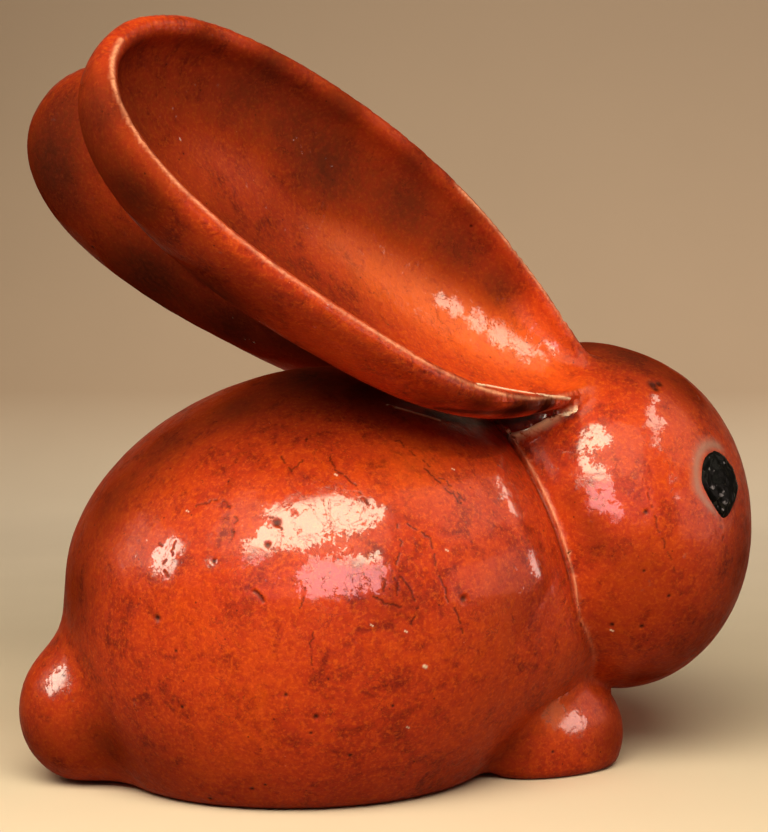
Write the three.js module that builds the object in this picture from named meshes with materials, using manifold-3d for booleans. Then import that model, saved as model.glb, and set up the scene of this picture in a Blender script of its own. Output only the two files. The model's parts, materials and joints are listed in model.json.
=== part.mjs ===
// Seated rabbit figurine in glazed earthenware, one closed solid.
// Millimetres, +X towards the face, +Z up, the flat foot at Z = 0, the rabbit's right side at -Y.

import * as THREE from 'three';
import { mergeVertices } from 'three/addons/utils/BufferGeometryUtils.js';
import Module from 'manifold-3d';

const wasm = await Module();
wasm.setup();

// Driving dimensions, places measured from the middle of the seat

const TRUNK = {
  centre: [-18, 0, 58.9],
  halfLength: 77.4,
  halfWidth: 68.8,
  above: 61.7,
  below: 80,
  roundAbove: 1.82,
  roundBelow: 2.1,
  lean: 0.12,
};

const CHEST = {
  centre: [28.4, 0, 43],
  half: [40, 42.7, 26.7],
};

const HEAD = {
  centre: [69.2, 0, 74.3],
  half: [43.5, 51.6, 54],
  pitch: -7.5,
  browElevation: 66,
  browSpread: 24,
  browFlat: 0.034,
};

const TAIL = {
  centre: [-88.4, 0, 21.6],
  half: [20.8, 19.5, 22],
  pitch: 5.6,
};

const PAW = {
  centre: [47.2, -20.5, 10.5],
  half: [23.5, 12, 20.8],
  pitch: 8,
  yaw: -15.2,
};

const EAR = {
  root: [60.7, -21.2, 115.1],
  length: 184.3,
  pitch: 27.2,
  splay: 21.2,
  roll: 33.5,
  halfWidth: 43,
  widestUpper: 0.56,
  widestLower: 0.48,
  swellUpper: 2.27,
  swellLower: 2.43,
  tipRound: 2.66,
  bowAcross: 2.2,
  bowOut: 1.8,
  depth: 33,
  depthPower: 0.9,
  bowl: 0.6,
  rim: 6.2,
  rootInset: 4.3,
  middle: 0.52,
};
const LEFT_EAR_SETBACK = 5.5;

const EYE = {
  azimuth: 64.3,
  elevation: 15.1,
  half: [3.2, 8.8, 10],
  sink: 1.4,
  taper: 0.35,
};

const SOCKET = {
  ...EYE,
  half: [1.2, 10.5, 11.7],
  sink: 1,
};

const NOSE = {
  azimuth: 0,
  elevation: -6,
  half: [2.2, 5.5, 4],
  sink: 1.2,
  taper: 0.45,
};

// Columns round and rows between the poles of each rounded form
const FACETS = {
  trunk: [44, 28],
  chest: [30, 20],
  head: [36, 24],
  tail: [18, 14],
  paw: [18, 12],
  ear: [36, 24],
  eye: [16, 10],
};
const RIM_ROWS = 3;

const MERGE_DISTANCE = 1e-3;
const ABOVE_FLOOR = 600;

const glaze = new THREE.MeshStandardMaterial({
  name: 'orange_glaze',
  color: new THREE.Color(0.55, 0.13, 0.05),
  roughness: 0.22,
  metalness: 0,
});

const radians = THREE.MathUtils.degToRad;
const vector = ([x, y, z]) => new THREE.Vector3(x, y, z);

// Closed forms

// A closed geometry whose shared points are merged becomes a solid that can be joined and cut.
function toSolid(geometry) {
  geometry.deleteAttribute('normal');
  geometry.deleteAttribute('uv');
  const merged = mergeVertices(geometry, MERGE_DISTANCE);
  return new wasm.Manifold(new wasm.Mesh({
    numProp: 3,
    vertProperties: merged.attributes.position.array,
    triVerts: Uint32Array.from(merged.index.array),
  }));
}

// The unit ball with its poles on Z, every point carried to its own place.
function ballForm([columns, rows], carry) {
  const geometry = new THREE.SphereGeometry(1, columns, rows).rotateX(Math.PI / 2);
  const positions = geometry.attributes.position;
  const point = new THREE.Vector3();
  for (let i = 0; i < positions.count; i += 1) {
    point.fromBufferAttribute(positions, i);
    carry(point);
    positions.setXYZ(i, point.x, point.y, point.z);
  }
  return toSolid(geometry);
}

// A form of the rabbit's right side, on its left side.
function onLeft(carry, setback) {
  return (point) => {
    point.y *= -1;
    carry(point);
    point.y *= -1;
    point.x -= setback;
  };
}

// Both of a pair: the form on the right side and its mirror image, which may sit further back.
function pair(facets, carry, setback = 0) {
  const right = ballForm(facets, carry);
  const left = ballForm(facets, onLeft(carry, setback));
  return [right, left];
}

// An ellipsoid turned by its pitch about Y, then by its yaw about Z.
function ellipsoid({ centre, half, pitch = 0, yaw = 0 }) {
  const turn = new THREE.Matrix4().makeRotationZ(radians(-yaw))
    .multiply(new THREE.Matrix4().makeRotationY(radians(pitch)));
  return (point) => point.multiply(vector(half)).applyMatrix4(turn).add(vector(centre));
}

// Head

// An ellipsoid with a flatter brow.
function head(point) {
  const brow = radians(HEAD.browElevation);
  const turn = point.angleTo(new THREE.Vector3(Math.cos(brow), 0, Math.sin(brow)));
  point.multiplyScalar(1 - HEAD.browFlat * Math.exp(-((turn / radians(HEAD.browSpread)) ** 2)));
  ellipsoid(HEAD)(point);
}

// Trunk

// A superellipsoid, rounder above its widest line, squarer and leaning back below it.
function trunk(point) {
  const azimuth = Math.atan2(point.y, point.x);
  const above = point.z > 0;
  const power = 2 / (above ? TRUNK.roundAbove : TRUNK.roundBelow);
  const reach = Math.hypot(point.x, point.y) ** power;
  const level = Math.abs(point.z) ** power;
  const height = above ? TRUNK.above * level : -TRUNK.below * level;
  point.set(
    TRUNK.halfLength * reach * Math.cos(azimuth) + TRUNK.lean * Math.min(height, 0),
    TRUNK.halfWidth * reach * Math.sin(azimuth),
    height,
  );
  point.add(vector(TRUNK.centre));
}

// Ears

// Half-width of an ear margin along its length: 0 at the root and the tip, 1 at its widest.
function margin(along, widest, swell) {
  if (along < widest) {
    return 1 - (1 - along / widest) ** swell;
  }
  return Math.sqrt(Math.max(0, 1 - ((along - widest) / (1 - widest)) ** EAR.tipRound));
}

// The right ear's own directions: along it, across its bowl to the upper margin, out of its bowl.
function earAxes() {
  const [pitch, splay, roll] = [EAR.pitch, EAR.splay, EAR.roll].map(radians);
  const along = new THREE.Vector3(
    -Math.cos(pitch) * Math.cos(splay),
    -Math.cos(pitch) * Math.sin(splay),
    Math.sin(pitch),
  );
  const up = new THREE.Vector3(0, 0, 1);
  const rise = up.addScaledVector(along, -up.dot(along)).normalize();
  const side = new THREE.Vector3().crossVectors(rise, along);
  const across = rise.clone().multiplyScalar(Math.cos(roll)).addScaledVector(side, -Math.sin(roll));
  const out = side.clone().multiplyScalar(Math.cos(roll)).addScaledVector(rise, Math.sin(roll));
  return { along, across, out };
}

// The outline of an ear at one turn round it from the root, along the ear and across it.
// Inward moves it from the margin, 0, to the edge of the bowl, 1.
function earOutline(turn, inward) {
  const station = (1 - Math.cos(turn)) / 2;
  const start = EAR.rootInset * inward;
  const length = EAR.length - (EAR.rootInset + EAR.rim) * inward;
  const width = Math.sign(Math.sin(turn)) * earHalfWidth(station, Math.sin(turn));
  return new THREE.Vector2(start + length * station, width * (1 - (EAR.rim / EAR.halfWidth) * inward));
}

// Half-width of the upper side, or of the lower side where side is negative.
function earHalfWidth(station, side) {
  const shape = side > 0
    ? margin(station, EAR.widestUpper, EAR.swellUpper)
    : margin(station, EAR.widestLower, EAR.swellLower);
  return EAR.halfWidth * shape;
}

// How deep the back, or the bowl where inward is 1, lies behind the mouth at a point of the ear.
function earDepth(spot, inward) {
  const length = EAR.length - (EAR.rootInset + EAR.rim) * inward;
  const station = THREE.MathUtils.clamp((spot.x - EAR.rootInset * inward) / length, 0, 1);
  const both = (earHalfWidth(station, 1) + earHalfWidth(station, -1)) / (2 * EAR.halfWidth);
  const edge = earHalfWidth(station, spot.y) * (1 - (EAR.rim / EAR.halfWidth) * inward);
  const across = edge > 0 ? Math.min(1, Math.abs(spot.y) / edge) : 1;
  const depth = EAR.depth * THREE.MathUtils.lerp(1, EAR.bowl, inward);
  return depth * both ** EAR.depthPower * Math.sqrt(1 - across * across);
}

// A long scoop, as a flattened ball: its lower half is the back, its equator the margin, then come
// the rounded rim and the bowl.
function ear(point) {
  const { along, across, out } = earAxes();
  const turn = (Math.atan2(point.y, point.x) + 2 * Math.PI) % (2 * Math.PI);
  const latitude = Math.asin(THREE.MathUtils.clamp(point.z, -1, 1));
  const rimLatitude = (RIM_ROWS * Math.PI) / FACETS.ear[1];
  const middle = new THREE.Vector2(EAR.length * EAR.middle, 0);
  let spot;
  let height;
  if (latitude <= 0) {
    spot = middle.lerp(earOutline(turn, 0), Math.cos(latitude));
    height = -earDepth(spot, 0);
  } else if (latitude < rimLatitude) {
    const round = Math.PI * (latitude / rimLatitude);
    const outer = earOutline(turn, 0);
    const inner = earOutline(turn, 1);
    spot = outer.clone().lerp(inner, (1 - Math.cos(round)) / 2);
    height = (outer.distanceTo(inner) / 2) * Math.sin(round);
  } else {
    const inner = ((latitude - rimLatitude) / (Math.PI / 2 - rimLatitude)) * (Math.PI / 2);
    spot = middle.lerp(earOutline(turn, 1), Math.cos(inner));
    height = -earDepth(spot, 1);
  }
  const station = spot.x / EAR.length;
  const bow = 4 * station * (1 - station);
  point.set(...EAR.root)
    .addScaledVector(along, spot.x)
    .addScaledVector(across, spot.y + EAR.bowAcross * bow)
    .addScaledVector(out, height + EAR.bowOut * bow);
}

// Eyes and nose

// A place on the right side of the head, with the directions out of it, sideways and up.
function placeOnHead({ azimuth, elevation }) {
  const turn = new THREE.Matrix4().makeRotationY(radians(HEAD.pitch));
  const half = vector(HEAD.half);
  const ray = new THREE.Vector3(
    Math.cos(radians(elevation)) * Math.cos(radians(azimuth)),
    -Math.cos(radians(elevation)) * Math.sin(radians(azimuth)),
    Math.sin(radians(elevation)),
  ).applyMatrix4(turn.clone().transpose());
  const place = ray.divideScalar(ray.clone().divide(half).length());
  const out = place.clone().divide(half).divide(half).applyMatrix4(turn).normalize();
  const up = new THREE.Vector3(0, 0, 1).addScaledVector(out, -out.z).normalize();
  const sideways = new THREE.Vector3().crossVectors(up, out);
  return { place: place.applyMatrix4(turn).add(vector(HEAD.centre)), out, sideways, up };
}

// A drop-shaped swelling on the head, narrower towards its lower end.
function drop(feature) {
  const { place, out, sideways, up } = placeOnHead(feature);
  const [bulge, halfWidth, halfHeight] = feature.half;
  return (point) => {
    const narrow = 1 - feature.taper * Math.max(0, -point.z);
    const [x, y, z] = point.toArray();
    point.copy(place)
      .addScaledVector(out, bulge * x - feature.sink)
      .addScaledVector(sideways, halfWidth * narrow * y)
      .addScaledVector(up, halfHeight * z);
  };
}

// Whole rabbit

// Half a space: everything above the floor that the flat foot stands on.
function aboveFloor() {
  const box = new THREE.BoxGeometry(ABOVE_FLOOR, ABOVE_FLOOR, ABOVE_FLOOR);
  return toSolid(box.translate(0, 0, ABOVE_FLOOR / 2));
}

function join(solids) {
  return solids.reduce((whole, solid) => whole.add(solid));
}

function rabbitSolid() {
  const body = join([
    ballForm(FACETS.trunk, trunk),
    ballForm(FACETS.chest, ellipsoid(CHEST)),
    ballForm(FACETS.head, head),
    ballForm(FACETS.tail, ellipsoid(TAIL)),
    ...pair(FACETS.paw, ellipsoid(PAW)),
    ...pair(FACETS.ear, ear, LEFT_EAR_SETBACK),
  ]);
  const sockets = join(pair(FACETS.eye, drop(SOCKET)));
  const beads = pair(FACETS.eye, drop(EYE));
  const nose = ballForm(FACETS.eye, drop(NOSE));
  return join([body.subtract(sockets), ...beads, nose]).intersect(aboveFloor());
}

// The solid's mesh, moved so that the origin is under the middle of its bounding box.
function rabbitMesh() {
  const { vertProperties, triVerts } = rabbitSolid().getMesh();
  const geometry = new THREE.BufferGeometry();
  geometry.setAttribute('position', new THREE.BufferAttribute(vertProperties, 3));
  geometry.setIndex(new THREE.BufferAttribute(triVerts, 1));
  geometry.computeVertexNormals();
  geometry.computeBoundingBox();
  const { min, max } = geometry.boundingBox;
  const mesh = new THREE.Mesh(geometry, glaze);
  mesh.name = 'rabbit';
  mesh.position.set(-(min.x + max.x) / 2, -(min.y + max.y) / 2, -min.z);
  return mesh;
}

const figurine = new THREE.Group();
figurine.add(rabbitMesh());

export default figurine;
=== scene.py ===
import json
import math
from contextlib import contextmanager

import bmesh
import bpy
import numpy as np
from bpy.props import FloatProperty, FloatVectorProperty, PointerProperty
from mathutils import Matrix, Vector, noise
from mathutils.bvhtree import BVHTree
from mathutils.kdtree import KDTree

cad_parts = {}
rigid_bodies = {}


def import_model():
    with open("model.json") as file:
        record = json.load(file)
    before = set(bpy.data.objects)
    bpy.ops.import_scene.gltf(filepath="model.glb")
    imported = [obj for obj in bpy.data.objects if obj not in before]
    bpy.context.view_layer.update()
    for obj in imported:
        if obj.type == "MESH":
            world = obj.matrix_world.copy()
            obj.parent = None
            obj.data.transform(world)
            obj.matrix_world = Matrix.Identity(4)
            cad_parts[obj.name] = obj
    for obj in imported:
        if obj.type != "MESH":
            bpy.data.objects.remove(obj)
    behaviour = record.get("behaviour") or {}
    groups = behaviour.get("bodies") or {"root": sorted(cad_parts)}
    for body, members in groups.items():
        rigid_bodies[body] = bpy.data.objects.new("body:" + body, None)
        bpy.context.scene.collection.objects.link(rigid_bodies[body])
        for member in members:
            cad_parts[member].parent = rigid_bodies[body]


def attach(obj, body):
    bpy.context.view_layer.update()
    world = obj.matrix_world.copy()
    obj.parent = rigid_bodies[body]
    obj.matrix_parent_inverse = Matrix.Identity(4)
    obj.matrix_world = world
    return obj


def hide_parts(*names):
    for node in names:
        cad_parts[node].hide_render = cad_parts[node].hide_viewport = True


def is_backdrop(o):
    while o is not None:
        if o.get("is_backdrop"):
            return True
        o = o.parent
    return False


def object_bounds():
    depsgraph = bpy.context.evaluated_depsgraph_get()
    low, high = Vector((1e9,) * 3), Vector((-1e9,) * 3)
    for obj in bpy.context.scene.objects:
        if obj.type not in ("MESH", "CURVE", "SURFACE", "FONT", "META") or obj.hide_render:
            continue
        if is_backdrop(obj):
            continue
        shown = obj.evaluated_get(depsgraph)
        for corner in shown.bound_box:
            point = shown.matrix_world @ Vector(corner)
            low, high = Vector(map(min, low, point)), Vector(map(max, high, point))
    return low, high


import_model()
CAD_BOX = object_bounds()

bl_info = {
    "name": "Glazed Rabbit",
    "version": (1, 0, 0),
    "blender": (4, 5, 0),
    "location": "View3D > Sidebar > Rabbit",
    "description": "A seated rabbit of orange-red glazed earthenware with long scooped ears",
    "category": "Add Mesh",
}

NODE = "rabbit"
PHOTO_WIDTH = 768
PHOTO_HEIGHT = 832
SENSOR = 36.0
MIRROR = (1, -1, 1)  # from the right side to the left
UP = Vector((0, 0, 1))


# Sizes and colours

def mm(value):
    return value * 0.001


def bell(gap, width):
    """1 where there is no gap, falling off over the width."""
    return np.exp(-(gap / width) ** 2)


def length(name, description, default):
    return FloatProperty(
        name=name, description=description, default=mm(default), unit="LENGTH", precision=4,
    )


def place(name, description, default):
    return FloatVectorProperty(
        name=name, description=description, default=[mm(value) for value in default],
        subtype="TRANSLATION", unit="LENGTH", precision=4,
    )


def angle(name, description, default):
    return FloatProperty(
        name=name, description=description, default=math.radians(default), unit="ROTATION",
    )


def ratio(name, description, default):
    return FloatProperty(name=name, description=description, default=default, precision=3)


def colour(name, description, default):
    return FloatVectorProperty(
        name=name, description=description, default=default, subtype="COLOR", min=0.0, max=1.0,
    )


class RabbitSizes(bpy.types.PropertyGroup):
    """Sizes of the rabbit's forms, its seat standing on the floor."""

    seat: place("Seat", "Middle of the seat, from the origin", (-2.39, 0, 0))

    trunk_centre: place("Trunk centre", "Middle of the trunk's widest line", (-18, 0, 58.9))
    trunk_length: length("Trunk half length", "From the trunk's middle to its rear", 77.4)
    trunk_width: length("Trunk half width", "From the trunk's middle to its side", 68.8)
    trunk_above: length("Trunk above", "Height over the widest line", 61.7)
    trunk_below: length("Trunk below", "Depth under the widest line, the floor cuts it", 80)
    trunk_round_above: ratio("Roundness above", "Superellipse power above the widest line", 1.82)
    trunk_round_below: ratio("Roundness below", "Superellipse power below the widest line", 2.1)
    trunk_lean: ratio("Trunk lean", "How far the lower half leans back for its depth", 0.12)

    chest_centre: place("Chest centre", "Middle of the chest", (28.4, 0, 43))
    chest_half: place("Chest half sizes", "Half sizes of the chest", (40, 42.7, 26.7))

    head_centre: place("Head centre", "Middle of the head", (69.2, 0, 74.3))
    head_half: place("Head half sizes", "Half sizes of the head", (43.5, 51.6, 54))
    head_pitch: angle("Head pitch", "Turn of the head's long axis", -7.5)
    brow_elevation: angle("Brow elevation", "Where the brow is flattest, above the face", 66)
    brow_spread: angle("Brow spread", "How far round the flatter brow reaches", 24)
    brow_flat: ratio("Brow flatness", "Share of the head's radius that the brow lacks", 0.034)

    tail_centre: place("Tail centre", "Middle of the tail", (-88.4, 0, 21.6))
    tail_half: place("Tail half sizes", "Half sizes of the tail", (20.8, 19.5, 22))
    tail_pitch: angle("Tail pitch", "Turn of the tail", 5.6)

    paw_centre: place("Paw centre", "Middle of the right paw", (47.2, -20.5, 10.5))
    paw_half: place("Paw half sizes", "Half sizes of a paw", (23.5, 12, 20.8))
    paw_pitch: angle("Paw pitch", "Turn of a paw", 8)
    paw_yaw: angle("Paw yaw", "How far the right paw turns out", -15.2)

    ear_root: place("Ear root", "Where the right ear meets the head", (60.7, -21.2, 115.1))
    ear_length: length("Ear length", "From the root to the tip", 184.3)
    ear_pitch: angle("Ear pitch", "How far the ears rise", 27.2)
    ear_splay: angle("Ear splay", "How far the ears spread", 21.2)
    ear_roll: angle("Ear roll", "How far the scoop turns up from the side", 33.5)
    ear_width: length("Ear half width", "Half width at the widest place", 43)
    widest_upper: ratio("Upper widest", "Where the upper margin is widest", 0.56)
    widest_lower: ratio("Lower widest", "Where the lower margin is widest", 0.48)
    swell_upper: ratio("Upper swell", "How fast the upper margin swells from the root", 2.27)
    swell_lower: ratio("Lower swell", "How fast the lower margin swells from the root", 2.43)
    tip_round: ratio("Tip roundness", "Superellipse power of the tip", 2.66)
    bow_across: length("Bow across", "How far the ear bows upward", 2.2)
    bow_out: length("Bow out", "How far the ear bows outward", 1.8)
    ear_depth: length("Ear depth", "Depth of the ear's back", 33)
    depth_power: ratio("Depth power", "How the depth follows the width", 0.9)
    bowl_depth: ratio("Bowl depth", "Depth of the bowl as a share of the back's", 0.6)
    rim: length("Rim", "Width of the rounded rim", 6.2)
    root_inset: length("Root inset", "From the root to the start of the bowl", 4.3)
    ear_middle: ratio("Ear middle", "Where the ear is deepest, along its length", 0.52)
    ear_setback: length("Left ear setback", "How much further back the left ear sits", 5.5)

    eye_azimuth: angle("Eye azimuth", "Turn of an eye from the face", 64.3)
    eye_elevation: angle("Eye elevation", "Rise of an eye over the head's middle", 15.1)
    eye_half: place("Eye half sizes", "Bulge, half width and half height of an eye", (3.2, 8.8, 10))
    eye_sink: length("Eye sink", "How deep an eye sits in the clay", 1.4)
    eye_taper: ratio("Eye taper", "How much narrower an eye's lower end is", 0.5)
    eye_lean: angle("Eye lean", "How far an eye's lower end leans back", -9)
    eye_lumps: length("Eye lumps", "Height of the lumps in an eye's glaze", 0.45)

    nose_elevation: angle("Nose elevation", "Rise of the nose over the head's middle", -6)
    nose_half: place("Nose half sizes", "Bulge, half width and half height", (2.2, 5.5, 4))
    nose_sink: length("Nose sink", "How deep the nose sits in the clay", 1.2)
    nose_taper: ratio("Nose taper", "How much narrower the nose's lower end is", 0.45)

    voxel: length("Clay voxel", "Voxel size of the joined clay", 1.9)
    swell: length("Hand swell", "Height of the broad unevenness left by the hand", 0.35)
    lumps: length("Glaze lumps", "Height of the small lumps in the glaze", 0.10)


class RabbitJoins(bpy.types.PropertyGroup):
    """Widths over which the clay is smoothed where two forms meet."""

    chest: length("Chest join", "Between the trunk and the chest", 16)
    tail: length("Tail join", "Round the tail", 9)
    paw: length("Paw join", "Round the paws", 6)
    neck: length("Neck join", "Round the neck crease", 2.6)
    ear: length("Ear join", "Round the ears' roots", 6)
    nose: length("Nose join", "Round the nose", 4)
    foot: length("Foot edge", "Round the edge of the flat foot", 3)


class RabbitColours(bpy.types.PropertyGroup):
    """Colours of the glazes, of the painted shade, light and sheen on them, and of the studio."""

    bright: colour("Bright glaze", "Where the glaze is thin and orange", (0.64, 0.072, 0.003))
    warm: colour("Warm glaze", "The most common orange-red", (0.47, 0.036, 0.006))
    deep: colour("Deep glaze", "Where the glaze is dark red", (0.25, 0.016, 0.006))
    # Painted sheen: crimson haze round the glossy pools, standing in for their spread reflection
    flush: colour("Crimson glaze", "Round the glossy pools", (0.62, 0.045, 0.012))
    # Pale orange of the painted light patches, and of the random freckles
    pale_orange_and_painted_light: colour("Fresh glaze", "Light orange where the glaze ran thin", (0.92, 0.15, 0.012))
    # Colour of the painted shade patches, partly darker fired glaze
    fired_and_shade: colour("Dark-fired glaze", "Broad dark patches of the firing", (0.060, 0.014, 0.008))
    # Specks, pits and cracks, and the colour of the painted shade under the ears and in the ear
    # wedge
    dark_specks_and_shade: colour("Burnt glaze", "Specks, pits and cracks", (0.022, 0.005, 0.003))
    edge: colour("Edge glaze", "Where the glaze has drawn thin over an edge", (1.0, 0.42, 0.25))
    # Pale bare edges and chips, also the painted highlight on the ear ridge and the valley streak
    bare_edge_and_highlight: colour("Bare edge", "Where hardly any glaze stayed on a ridge", (1.0, 0.74, 0.56))
    halo: colour("Eye halo", "Greyish ring round an eye", (0.42, 0.21, 0.17))
    eye: colour("Eye glaze", "Black glaze of the eyes", (0.002, 0.002, 0.002))
    floor: colour("Floor", "Pale floor", (0.95, 0.81, 0.66))
    wall: colour("Backdrop", "Tan backdrop behind the floor", (0.62, 0.46, 0.34))


class RabbitCamera(bpy.types.PropertyGroup):
    """The camera, as the photograph was taken."""

    target: place("Target", "Point at the middle of the view", (-2.80, 0, 105.5))
    distance: length("Distance", "From the camera to the target", 579.4)
    azimuth: angle("Azimuth", "Turn of the camera about the rabbit", -13.17)
    elevation: angle("Elevation", "Rise of the camera over the target", 3.95)
    lens: FloatProperty(name="Lens", description="Focal length", default=83.56, unit="CAMERA")


# Camera geometry

def camera_axes(settings):
    """The camera's right, up and backward directions."""
    turn, rise = settings.azimuth, settings.elevation
    back = Vector((
        math.sin(turn) * math.cos(rise), -math.cos(turn) * math.cos(rise), math.sin(rise),
    ))
    right = UP.cross(back).normalized()
    return right, back.cross(right), back


def pixel_ray(settings, pixel):
    """The start and direction of the sight line through a pixel of the photograph."""
    right, up, back = camera_axes(settings)
    focal = settings.lens / SENSOR * PHOTO_HEIGHT
    start = Vector(settings.target) + back * settings.distance
    aside = (pixel[0] - PHOTO_WIDTH / 2) * right - (pixel[1] - PHOTO_HEIGHT / 2) * up
    return start, (aside - back * focal).normalized()


# Forms of the clay

@contextmanager
def shaping(mesh):
    """A bmesh of the mesh, which is written back at the end."""
    shape = bmesh.new()
    shape.from_mesh(mesh)
    yield shape
    shape.to_mesh(mesh)
    shape.free()
    mesh.update()


def unit_ball(columns, rows):
    """Mesh of a ball of radius 1 with its poles on Z, made coarse and then cut finer."""
    mesh = bpy.data.meshes.new("ball")
    with shaping(mesh) as shape:
        bmesh.ops.create_uvsphere(shape, u_segments=columns // 4, v_segments=rows // 4, radius=1.0)
        bmesh.ops.subdivide_edges(shape, edges=shape.edges[:], cuts=3, use_grid_fill=True)
        for vert in shape.verts:
            vert.co.normalize()
    return mesh


def read_points(mesh):
    points = np.empty(len(mesh.vertices) * 3)
    mesh.vertices.foreach_get("co", points)
    return points.reshape(-1, 3)


def write_points(mesh, points):
    mesh.vertices.foreach_set("co", points.ravel())
    mesh.update()


def noise_at(points, scale):
    return np.array([noise.noise(Vector(point) * scale) for point in points])


def carried_ball(columns, rows, carry):
    """The unit ball with its points carried to their own places."""
    mesh = unit_ball(columns, rows)
    write_points(mesh, carry(read_points(mesh)))
    return mesh


def on_left(carry, setback=0.0):
    """A form of the rabbit's right side, on its left side."""
    def carry_left(points):
        carried = carry(points * MIRROR) * MIRROR
        carried[:, 0] -= setback
        return carried
    return carry_left


def ellipsoid(centre, half, pitch=0.0, yaw=0.0):
    turn = np.array(Matrix.Rotation(-yaw, 3, "Z") @ Matrix.Rotation(pitch, 3, "Y"))
    return lambda points: (points * half) @ turn.T + centre


def trunk_form(sizes):
    """A superellipsoid, rounder above its widest line, squarer and leaning back below it."""
    def carry(points):
        x, y, z = points.T
        azimuth = np.arctan2(y, x)
        power = 2 / np.where(z > 0, sizes.trunk_round_above, sizes.trunk_round_below)
        reach = np.hypot(x, y) ** power
        level = np.abs(z) ** power
        height = np.where(z > 0, sizes.trunk_above * level, -sizes.trunk_below * level)
        carried = np.stack((
            sizes.trunk_length * reach * np.cos(azimuth) + sizes.trunk_lean * np.minimum(height, 0),
            sizes.trunk_width * reach * np.sin(azimuth),
            height,
        ), axis=1)
        return carried + sizes.trunk_centre
    return carry


def head_form(sizes):
    """An ellipsoid with a flatter brow."""
    carry_plain = ellipsoid(sizes.head_centre, sizes.head_half, sizes.head_pitch)

    def carry(points):
        brow = np.array((math.cos(sizes.brow_elevation), 0, math.sin(sizes.brow_elevation)))
        turn = np.arccos(np.clip(points @ brow, -1, 1))
        lack = sizes.brow_flat * bell(turn, sizes.brow_spread)
        return carry_plain(points * (1 - lack)[:, None])
    return carry


class Ear:
    """The right ear: a long scoop, made from a flattened ball.

    The ball's lower half is the back, its equator the margin, then come the rim and the bowl.
    """

    RIM_TURN = math.radians(22.5)  # latitude on the ball where the rim ends and the bowl starts

    def __init__(self, sizes):
        self.sizes = sizes
        pitch, splay, roll = sizes.ear_pitch, sizes.ear_splay, sizes.ear_roll
        self.along = Vector((
            -math.cos(pitch) * math.cos(splay), -math.cos(pitch) * math.sin(splay), math.sin(pitch),
        ))
        rise = (UP - self.along * UP.dot(self.along)).normalized()
        side = rise.cross(self.along)
        self.across = rise * math.cos(roll) - side * math.sin(roll)
        self.out = side * math.cos(roll) + rise * math.sin(roll)

    def margin(self, station, upper):
        """Half width of a margin: 0 at the root and the tip, 1 at its widest."""
        sizes = self.sizes
        widest = np.where(upper, sizes.widest_upper, sizes.widest_lower)
        swell = np.where(upper, sizes.swell_upper, sizes.swell_lower)
        toward_root = 1 - np.clip(1 - station / widest, 0, 1) ** swell
        toward_tip = np.sqrt(np.clip(
            1 - np.clip((station - widest) / (1 - widest), 0, 1) ** sizes.tip_round, 0, 1,
        ))
        return np.where(station < widest, toward_root, toward_tip)

    def outline(self, turn, inward):
        """Points of the outline, along and across, from the margin, 0, to the bowl's edge, 1."""
        sizes = self.sizes
        station = (1 - np.cos(turn)) / 2
        start = sizes.root_inset * inward
        reach = sizes.ear_length - (sizes.root_inset + sizes.rim) * inward
        narrow = 1 - sizes.rim / sizes.ear_width * inward
        width = np.sign(np.sin(turn)) * sizes.ear_width * self.margin(station, np.sin(turn) > 0)
        return np.stack((start + reach * station, width * narrow), axis=1)

    def depth(self, spots, inward):
        """How deep the back, or the bowl where inward is 1, lies behind the mouth."""
        sizes = self.sizes
        reach = sizes.ear_length - (sizes.root_inset + sizes.rim) * inward
        station = np.clip((spots[:, 0] - sizes.root_inset * inward) / reach, 0, 1)
        both = (self.margin(station, True) + self.margin(station, False)) / 2
        edge = sizes.ear_width * self.margin(station, spots[:, 1] > 0)
        edge *= 1 - sizes.rim / sizes.ear_width * inward
        across = np.clip(np.abs(spots[:, 1]) / np.maximum(edge, 1e-9), 0, 1)
        deepest = sizes.ear_depth * (sizes.bowl_depth if inward else 1.0)
        return deepest * both ** sizes.depth_power * np.sqrt(1 - across * across)

    def crest(self, begin=0.0, end=2 * math.pi):
        """Points along the rim's crest, from the root over the upper side to the tip and back."""
        turn = np.linspace(begin, end, 900, endpoint=False)
        rise = self.RIM_TURN / 2
        level = np.full(len(turn), np.sin(rise))
        ring = (np.cos(rise) * np.cos(turn), np.cos(rise) * np.sin(turn), level)
        return self.carry(np.stack(ring, axis=1))

    def carry(self, points):
        sizes = self.sizes
        turn = np.arctan2(points[:, 1], points[:, 0]) % (2 * math.pi)
        latitude = np.arcsin(np.clip(points[:, 2], -1, 1))
        middle = np.array((sizes.ear_length * sizes.ear_middle, 0))
        outer, inner = self.outline(turn, 0), self.outline(turn, 1)

        back = middle + (outer - middle) * np.cos(latitude)[:, None]
        roundness = math.pi * np.clip(latitude / self.RIM_TURN, 0, 1)
        rim = outer + (inner - outer) * ((1 - np.cos(roundness)) / 2)[:, None]
        rise = np.hypot(*(outer - inner).T) / 2 * np.sin(roundness)
        deeper = (latitude - self.RIM_TURN) / (math.pi / 2 - self.RIM_TURN) * (math.pi / 2)
        bowl = middle + (inner - middle) * np.cos(np.clip(deeper, 0, math.pi / 2))[:, None]

        on_back, on_rim = latitude <= 0, latitude < self.RIM_TURN
        spots = np.where(on_back[:, None], back, np.where(on_rim[:, None], rim, bowl))
        height = np.where(on_rim, rise, -self.depth(bowl, 1))
        height = np.where(on_back, -self.depth(back, 0), height)

        station = spots[:, 0] / sizes.ear_length
        bow = 4 * station * (1 - station)
        carried = np.outer(spots[:, 0], self.along)
        carried += np.outer(spots[:, 1] + sizes.bow_across * bow, self.across)
        carried += np.outer(height + sizes.bow_out * bow, self.out)
        return carried + sizes.ear_root


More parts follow.
